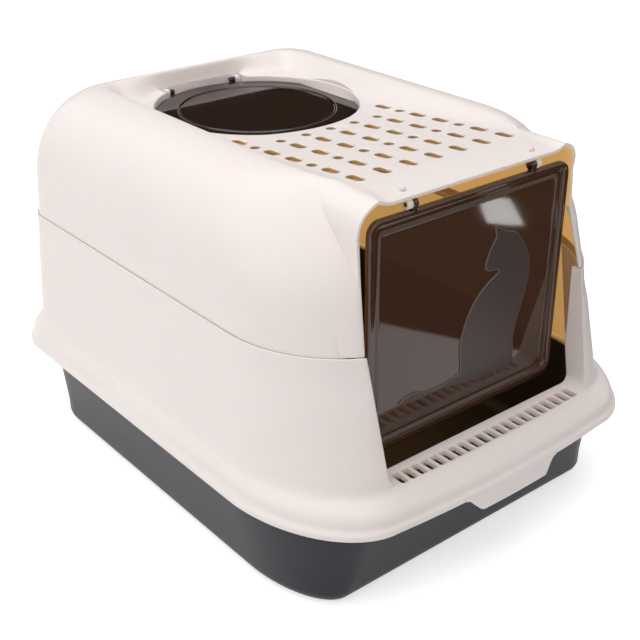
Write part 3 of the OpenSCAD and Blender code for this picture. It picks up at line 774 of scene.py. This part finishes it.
# %% Vents
# Seven rows from the front to the back; the third and the sixth are short, nearly round holes
vent_px, vent_w, vent_l, vent_y = 28.8, 8.8, 18.4, 51.9
vent_steps, short_rows = (0, 30.3, 24.2, 24.2, 30.3, 24.2, 24.2), (2, 5)
vents, vent_at = [], lip_y + vent_y
for row, step in enumerate(vent_steps):
    vent_at += step
    length = vent_w + 0.6 if row in short_rows else vent_l
    for column in range(-3, 4):
        x = column * vent_px
        if vent_at + length / 2 + 4 < lid_y - math.sqrt(max(0, well_r ** 2 - x * x)):
            top = roof_z(x, vent_at)
            vents.append(pillow(x, vent_at, vent_w, length, vent_w / 2 - 0.2,
                                [(top - 30, 0), (top - 0.9, 0), (top - 0.5, 0.12), (top - 0.2, 0.36),
                                 (top, 0.75), (top + 12, 1.6)]))
print("vents:", len(vents))

# %% The finished hood
door_hinge_x, clip_w, lug_r, border_d = 74.5, 5.2, 4.2, 5.6
door_axis_y = lip_y + border_d - 1.8
door_axis_z = floor_z(lip_y) - wall - lug_r - 0.3
post_y, post_d = door_axis_y + 7.6, 5.0

hood = bridge("upper_hood_moulding", body_rings(0))
combine(hood, ("UNION", visor(0)), ("DIFFERENCE", over_roof(0)))
hollow = bridge("hollow", body_rings(wall))
combine(hollow, ("UNION", visor(edge_t)), ("DIFFERENCE", over_roof(wall)),
        ("DIFFERENCE", disc(well_r + wall, well_z - wall, well_z + 60)),
        ("DIFFERENCE", hinge_recess(wall, well_z - wall)))
hood_inside = surface_of(hollow)
all_vents = joined("vents", vents)
vent_walls = surface_of(all_vents)

head, foot_in = visor_half - edge_t, opening_head - edge_t
gap = [(-foot_in, hood_foot - 9), (foot_in, hood_foot - 9), (foot_in, seam_z), (head, kink_z),
       (-head, kink_z), (-foot_in, seam_z)]
lap_y = shell_seam_y + 11.4
brow = [(far_front, 0), (lap_y, 0), (lap_y, seam_z + 0.2), (hood_seam_y, seam_z + 0.2),
        (kink_y, kink_z), (brow_y, brow_z), (lip_y, crest_z - 7), (lip_y, crest_z + 50),
        (far_front, crest_z + 50)]
posts = joined("posts", [box(s * door_hinge_x - clip_w / 2, s * door_hinge_x + clip_w / 2,
                             post_y - post_d / 2 - 0.2, post_y + post_d / 2 + 0.2,
                             door_axis_z, door_axis_z + 60) for s in (-1, 1)])
combine(hood, ("DIFFERENCE", hollow), ("DIFFERENCE", flared_well()),
        ("DIFFERENCE", hinge_recess(0, well_z)),
        ("DIFFERENCE", disc(well_r - well_ledge, well_z - 6, crest_z + far_up)),
        ("DIFFERENCE", across(half_w, brow)), ("DIFFERENCE", along(far_front, kink_y + 14, gap)),
        ("DIFFERENCE", posts), ("DIFFERENCE", all_vents))
soften(hood)
hood.data.materials.append(cream)
hood.data.materials.append(cream_painted_glow)
hood.data.materials.append(cream_painted_shade)
# Inner faces get the painted glow, the walls of the vents the painted shade
paint_glow_and_shade(hood, hood_inside, vent_walls)
# What reaches down into the shell lies in the dark gap of the seam, so it gets the painted shade, a
# darker base with a faint glow
for face in hood.data.polygons:
    if face.center.z < (seam_z - 0.5) * MM:
        face.material_index = 2
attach(hood, "hood"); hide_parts("upper_hood")
print("hood faces:", len(hood.data.polygons))

# %% [markdown]
# ## The flap door
# The door is one thin moulding seen from in front: a round border, a step down, a slim ridge, and a
# flat window. It could be a panel with frames laid on it, but then seams would show in the gloss.
# Here one closed skin runs from the flat back over all of those to the middle of the window.
# The sitting cat is a low relief with its own frosted face, so it is a thin plate on the window.

# %% Door skin
door_side, door_foot = 7.2, 3.0
door_half = visor_half - edge_t - door_side
door_low, door_high = sill_z + door_foot, door_axis_z - 5
door_face, door_t = door_axis_y + 1.8, 2.6


def rounded(w, z0, z1, r):
    points = []
    for side, z, turn in ((1, z0 + r, 270), (1, z1 - r, 0), (-1, z1 - r, 90), (-1, z0 + r, 180)):
        for i in range(17):
            a = math.radians(turn + 90 * i / 16)
            points.append((side * (w - r) + r * math.cos(a), z + r * math.sin(a)))
    return points


def door_row(inset, foot, r, depth, fade=False):
    # One line round the door, depth in front of its back; a faded one runs flat at the foot
    row = []
    for x, z in rounded(door_half - inset, door_low + foot, door_high - inset, r):
        share = ease((z - door_low - 14) / 16) if fade else 1
        row.append((x, door_face - door_t - (depth - door_t) * share, z))
    return row


# The border as (share of its width, depth), the ridge inside it as (inset, depth)
border = [(0.0, 0.5), (0.0, 3.9), (0.03, 4.5), (0.09, 5.0), (0.18, 5.4), (0.3, 5.58), (0.5, 5.6),
          (0.68, 5.5), (0.82, 5.2), (0.92, 4.7), (0.98, 4.1), (1.0, 3.3), (1.03, 2.85), (1.1, 2.6)]
ridge = [(11.5, 2.6), (11.8, 2.9), (12.1, 3.5), (12.5, 3.85), (13.1, 4.0), (13.7, 3.85), (14.1, 3.5),
         (14.4, 2.9), (14.7, 2.6), (15.4, 2.6)]
rows = [[(x, door_face, z) for x, _, z in door_row(0.5, 0.5, 11.5, 0)]]
rows += [door_row(6.5 * t, 12 * t, max(12 - 6.5 * t, 4), d) for t, d in border]
rows += [door_row(inset, 13.3 + 0.06 * i, 3.6, d, fade=True) for i, (inset, d) in enumerate(ridge)]
door = soften(bridge("flap_door_moulding", rows), 50)
door.data.materials.append(smoked)
print("door:", round(2 * door_half, 1), "wide,", round(door_high - door_low, 1), "high")

# %% Cat in relief
# Its outline from the tip of the tail along the foot, up to the ear and down again, as (x, height)
cat = [(-77, 11), (-54, 7.5), (-19, 7), (12, 1.5), (60, 0), (64, 12), (62.5, 32), (72, 66),
       (76.6, 90), (73, 109), (58, 131), (43, 137.5), (28, 145), (29.5, 135), (22.5, 123.5),
       (18.8, 112), (22, 105.5), (36.5, 102), (24.5, 94.5), (13, 86), (3.4, 74), (-4, 57),
       (-7, 40), (-4.5, 19), (-10, 13.5), (-40, 11), (-56, 15.5), (-68, 15.5)]


def closed_curve(points, steps):
    n = len(points)
    out = []
    for i in range(n):
        near = [list(points[(i + j) % n]) for j in (-1, 0, 1, 2)]
        out += [tuple(p) for p in flowing(near, steps)[steps:2 * steps]]
    return out


def shrunk(points, d):
    # Each point moves inwards, square to the line between its neighbours (counter-clockwise outline)
    n, out = len(points), []
    for i, (x, z) in enumerate(points):
        (x0, z0), (x1, z1) = points[i - 1], points[(i + 1) % n]
        run = math.hypot(x1 - x0, z1 - z0) or 1
        out.append((x - d * (z1 - z0) / run, z + d * (x1 - x0) / run))
    return out


cat_foot = door_low + 27.7
figure = closed_curve([(x, z + cat_foot) for x, z in cat], 6)
relief_edge = [(0, 2.3), (0, 3.1), (0.12, 3.4), (0.35, 3.6), (0.7, 3.68)]
relief = bridge("cat_relief", [[(x, door_face - depth, z) for x, z in shrunk(figure, inset)]
                               for inset, depth in relief_edge])
soften(relief, 8)
relief.data.materials.append(frosted)
relief.data.materials.append(frosted_painted_highlight)
# Painted highlight: the slanted edge faces round the cat, which are quads, get the lighter finish
for face in relief.data.polygons:
    face.material_index = int(len(face.vertices) == 4)
print("cat:", len(figure), "points round it")

# %% [markdown]
# ## Door hinges
# The door hangs on two short pins. Each pin sticks out of a lug over the border and turns in the ear
# of a clip. A plain cylinder would show a knife edge at its ends, so every round bar here is turned
# from a profile with its ends eased.

# %% Turned bars and eased blocks
def bar(x0, x1, y, z, r, ease_mm=0.5):
    turn = [2 * math.pi * i / 40 for i in range(40)]
    profile = [(x0, r - ease_mm), (x0 + 0.3 * ease_mm, r - 0.3 * ease_mm), (x0 + ease_mm, r),
               (x1 - ease_mm, r), (x1 - 0.3 * ease_mm, r - 0.3 * ease_mm), (x1, r - ease_mm)]
    return bridge("bar", [[(x, y + q * math.cos(a), z + q * math.sin(a)) for a in turn]
                          for x, q in profile])


def block(x0, x1, y0, y1, z0, z1, r=0.5):
    # A small block with all its upright and level edges eased
    corners = ((x1 - r, y0 + r, 270), (x1 - r, y1 - r, 0), (x0 + r, y1 - r, 90), (x0 + r, y0 + r, 180))
    rows = []
    for z, d in ((z0, r), (z0 + 0.3 * r, 0.3 * r), (z0 + r, 0),
                 (z1 - r, 0), (z1 - 0.3 * r, 0.3 * r), (z1, r)):
        row = []
        for cx, cy, turn in corners:
            for i in range(5):
                a = math.radians(turn + 22.5 * i)
                row.append((cx + (r - d) * math.cos(a), cy + (r - d) * math.sin(a), z))
        rows.append(row)
    return bridge("block", rows)


# %% Lugs and pins
side_gap, pin_edge = 0.4, 0.3


def hangers(clip_x, lug_w, axis, lug, pin, web):
    # Left and right: a lug round the axis, the web that ties it to its panel, and the pin beside it
    parts = []
    for side in (-1, 1):
        far = side * (clip_x - clip_w / 2 - side_gap)
        x = sorted((far - side * lug_w, far))
        parts += [bar(*x, *axis, lug), block(*x, *web),
                  bar(*sorted((far, side * (clip_x + clip_w / 2))), *axis, pin, pin_edge)]
    return parts


door_web = (door_face - border_d, door_face, door_high - 4, door_axis_z)
lugs = soften(joined("door_hinge_lugs", hangers(door_hinge_x, 5.5, (door_axis_y, door_axis_z),
                                                lug_r, 2.0, door_web)))
lugs.data.materials.append(smoked)
for piece in (door, relief, lugs):
    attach(piece, "door"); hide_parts("flap_door")
print("door pieces:", door.name, relief.name, lugs.name)

# %% [markdown]
# ## The lid
# The lid is a shallow round cap, cut straight at both sides so that fingers reach under it, with a
# slim raised ring on top. The straight sides make a lathe useless. A circle whose points are held
# back to the straight lines keeps one point count for every inset, so the bridge works here too.

# %% Lid skin
def lid_row(inset, z):
    w = lid_r - lid_flat - inset
    return [(max(-w, min(w, x)), y, z) for x, y in circle(lid_r - inset, 160)]


lid_t, hem, ring_at = 2.5, 2.4, 77.5
lid_rows = [lid_row(i, z) for i, z in (
    (hem, lid_top - lid_t), (hem, well_z + 0.6), (hem - 0.5, well_z + 0.1), (0.5, well_z + 0.1),
    (0, well_z + 0.7), (0, lid_top - 1.4), (0.18, lid_top - 0.7), (0.55, lid_top - 0.25),
    (1.2, lid_top - 0.03), (2.2, lid_top), (6, lid_top))]
lid_skin = bridge("top_lid_moulding", lid_rows)
ring_half = [(2.0, -0.4), (1.5, 0.1), (1.1, 0.6), (0.6, 1.0)]
ring_profile = ring_half + [(0, 1.15)] + [(-dx, dz) for dx, dz in reversed(ring_half)]
raised = bridge("ring", [[(x, y, lid_top + dz) for x, y in circle(ring_at + dx, 160)]
                         for dx, dz in ring_profile], loop=True)
lid_pin_r = 1.6
lid_web = (lid_axis_y - 14, lid_axis_y, lid_top - lid_t - 0.4, lid_top - 0.4)
pins = hangers(lid_hinge_x, 6.0, (lid_axis_y, lid_axis_z), lid_pin_r + 0.8, lid_pin_r, lid_web)
lid = soften(joined("top_lid_piece", [lid_skin, raised] + pins), 50)
lid.data.materials.append(smoked_lid_painted_darker)
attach(lid, "lid"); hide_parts("top_lid")
print("lid radius:", lid_r, "top at", lid_top)

# %% [markdown]
# ## Small clips
# The clips that carry the pins are plain little bearings whose CAD shape is already right. They stay
# as they are and only get the finish of the hood that they belong to.

# %% Finish for the clips
for name in ("door_clip_left", "door_clip_right", "lid_clip_left", "lid_clip_right"):
    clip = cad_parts[name]
    clip.data.materials.clear()
    clip.data.materials.append(cream)
print("clips have the hood's finish")

# %% [markdown]
# ## Floor and light
# A product is shown on a plain pale floor in soft light. One white world lights it evenly, a large
# soft lamp from above and one from the left give the form, and the floor returns light from below.
# The floor looks white to the camera and in the gloss, and still takes the shadow of the pan.

# %% Floor and world
floor_finish = Finish("studio_floor")
floor_finish.set(Base_Color=colour(246, 246, 246), Roughness=0.9, Specular_IOR_Level=0.1)
floor_finish.set(Emission_Color=floor_finish.blend(floor_finish.seen(), [0, 0, 0, 1], [1, 1, 1, 1]),
                 Emission_Strength=0.62)
reach = 9000
floor = blank("floor", [(-reach, -reach, 0), (reach, -reach, 0), (reach, reach, 0), (-reach, reach, 0)],
              [(0, 1, 2, 3)])
floor.data.materials.append(floor_finish.material)
floor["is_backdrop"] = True

world = bpy.data.worlds.new("studio")
bpy.context.scene.world = world
world.use_nodes = True
studio = Nodes(world.node_tree)
sky_light = studio.node("ShaderNodeBackground", None, {"Color": colour(255, 254, 252), "Strength": 0.4})
backdrop = studio.node("ShaderNodeBackground", None, {"Color": [1, 1, 1, 1], "Strength": 1.0})
studio.put(studio.tree.nodes["World Output"].inputs["Surface"],
           studio.node("ShaderNodeMixShader", None, {0: studio.seen(), 1: sky_light, 2: backdrop}))
print("studio nodes:", len(studio.tree.nodes))

# %% [markdown]
# ## Soft lamps
# The form is read from slow changes of tone, so both lamps are large. The one above is the brighter
# and stands a little behind, which makes the roof the lightest face. The one on the left fills the
# long side. Nothing stands in front, so the front faces stay a shade darker.

# %% Lamps
def soft_lamp(name, place, aim, size, power):
    data = bpy.data.lights.new(name, "AREA")
    data.shape, data.size, data.energy = "SQUARE", size, power
    lamp = bpy.data.objects.new(name, data)
    bpy.context.collection.objects.link(lamp)
    lamp.location = place
    lamp.rotation_euler = (Vector(aim) - Vector(place)).to_track_quat("-Z", "Y").to_euler()


soft_lamp("lamp_above", (-0.4, 0.0, 2.4), (0, 0, 0.2), 2.6, 40)
soft_lamp("lamp_left", (-2.4, 0.1, 1.2), (0, 0, 0.2), 1.8, 11)
print("lamps:", len(bpy.data.lights))

# %% [markdown]
# ## Cards in the reflections
# Smoked plastic shows what stands round it more than its own colour. In an all-white room it would
# look like milk glass. Dark cards, which only the reflections see, give it back its depth: one stands
# behind the box for the lid, one lies on the floor in front for the door. Near the box the floor is
# left bare, so the door keeps a pale reflection low down. A small bright card puts one soft window
# high on the door.

# %% Cards
def card(name, corners, finish):
    sheet = blank(name, corners, [(0, 1, 2, 3)])
    sheet.data.materials.append(finish.material)
    sheet.visible_camera = sheet.visible_diffuse = sheet.visible_shadow = False
    sheet.visible_transmission = False
    sheet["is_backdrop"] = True


def standing_card(name, middle, towards, width, height, finish):
    # Places in metres; the card faces the point that it stands towards
    out = (Vector(towards) - Vector(middle)).normalized()
    side = out.cross((0, 0, 1)).normalized()
    up = side.cross(out)
    card(name, [tuple((Vector(middle) + side * (x * width / 2) + up * (y * height / 2)) / MM)
                for x, y in ((-1, -1), (1, -1), (1, 1), (-1, 1))], finish)


def floor_card(name, start, turn, length, width, finish, height):
    # Flat card that begins on a line over the floor and reaches away from the box
    along_x, along_y = math.cos(turn), math.sin(turn)
    card(name, [(start[0] + along_x * a + along_y * b, start[1] + along_y * a - along_x * b, height)
                for a, b in ((-length, 0), (-length, width), (length, width), (length, 0))], finish)


card_finish, window_finish = Finish("dark_card"), Finish("window_card")
card_finish.set(Base_Color=colour(20, 20, 21), Roughness=0.9, Specular_IOR_Level=0.0)
window_finish.set(Base_Color=[1, 1, 1, 1], Emission_Color=[1, 1, 1, 1], Emission_Strength=6.0)
standing_card("card_behind", (1.3, 1.7, 1.2), (0, 0.1, 0.3), 3.4, 2.5, card_finish)
floor_card("card_in_front", (213, -561), math.atan2(59, 31), 4000, 6000, card_finish, 2)
floor_card("window_in_front", (581, -663), math.atan2(32, 39), 25, 105, window_finish, 4)
print("cards stand ready")

# %% [markdown]
# ## Camera
# The box is seen from the front left and from above, from a little over a metre away, through a short
# telephoto lens. That keeps the long side and the front both clear with little distortion. The view
# is set by two angles and a place, so no aiming constraint is needed.

# %% Camera
camera_at, turn, tilt = Vector((-644.3, -783.4, 661.9)), math.radians(39.4), math.radians(27.28)
camera_data = bpy.data.cameras.new("camera")
camera_data.lens, camera_data.sensor_width, camera_data.sensor_fit = 63.56, 36, "HORIZONTAL"
camera_data.clip_end = 60
camera = bpy.data.objects.new("camera", camera_data)
bpy.context.collection.objects.link(camera)
look = Vector((math.sin(turn) * math.cos(tilt), math.cos(turn) * math.cos(tilt), -math.sin(tilt)))
camera.location = camera_at * MM
camera.rotation_euler = look.to_track_quat("-Z", "Y").to_euler()
bpy.context.scene.camera = camera
bpy.context.scene.view_settings.view_transform = "Standard"
print("camera", round((camera.location - Vector((0, 0, 0.18))).length, 3), "m away")

# %% [markdown]
# The looks may not change the size of the part. Both boxes are kept and printed, so they can
# be compared.

# %% Write the two boxes and finish
looks_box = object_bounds()
for label, corners in (("CAD", cad_box), ("looks", looks_box)):
    print(label, [[round(v * 1000, 2) for v in c] for c in corners])
